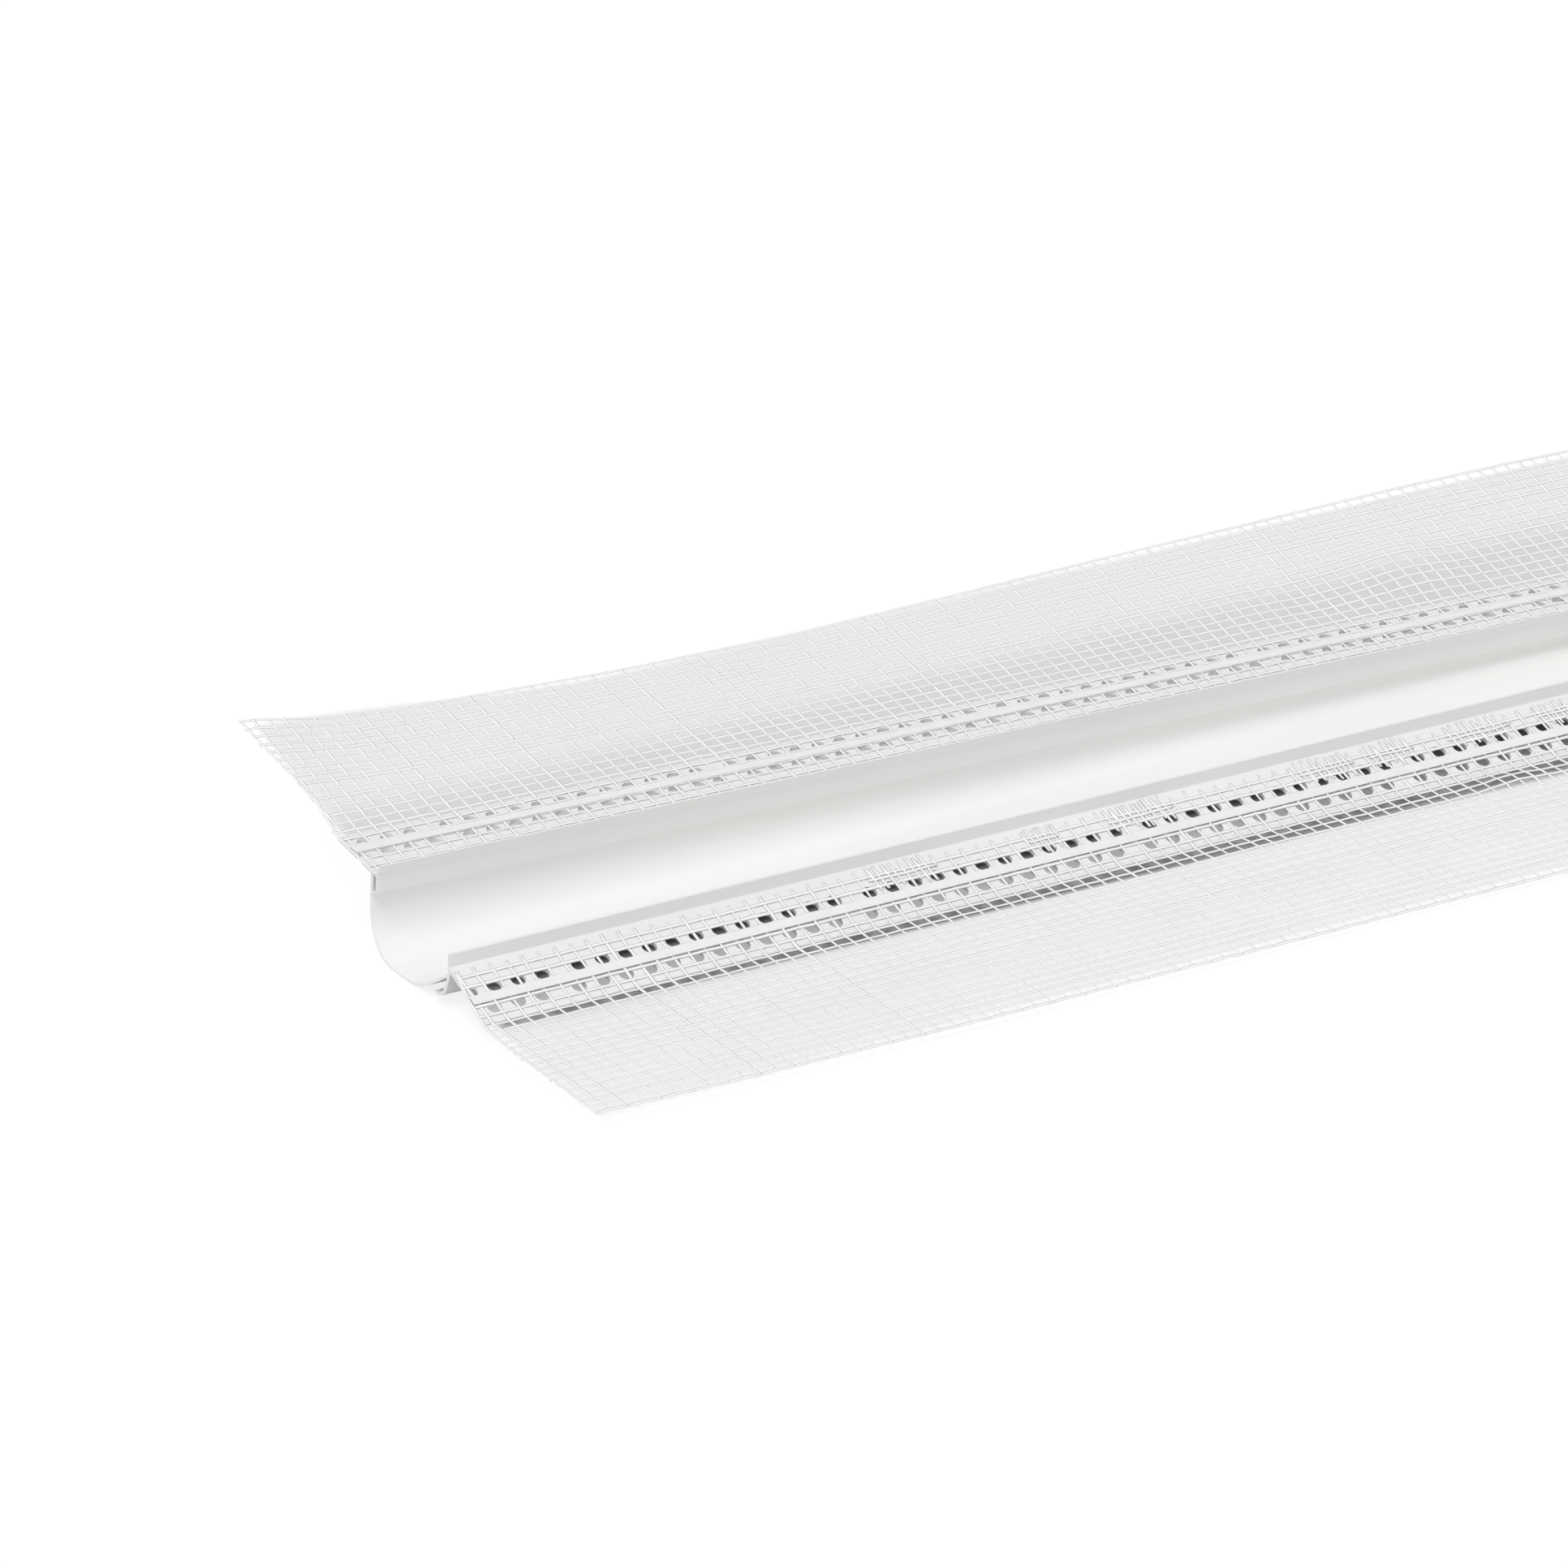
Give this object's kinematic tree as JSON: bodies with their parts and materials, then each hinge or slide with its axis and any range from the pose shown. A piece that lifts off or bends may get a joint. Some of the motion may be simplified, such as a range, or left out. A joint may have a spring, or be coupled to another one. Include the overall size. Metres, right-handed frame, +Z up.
{
  "type": "expansion joint bead",
  "caption": "Plaster expansion joint bead: two perforated rails with plaster stops, a soft loop between them and a mesh strip on each side.",
  "frame": {"origin": "on the floor under the middle of the bead's box", "axes": "+X along the bead, +Y from the low rail to the high rail, +Z up, as it lies unheld on a level floor"},
  "size_m": [2, 0.214, 0.0451],
  "materials": {
    "rigid_plastic": "white, satin",
    "soft_plastic": "white, soft and smooth",
    "mesh": "coated glass fibre, white"
  },
  "bodies": {
    "root": {"front_rail": "rigid_plastic", "back_rail": "rigid_plastic", "loop_membrane": "soft_plastic", "front_mesh_strip": "mesh", "back_mesh_strip": "mesh", "front_cover_band": "rigid_plastic", "back_cover_band": "rigid_plastic"}
  },
  "joints": []
}
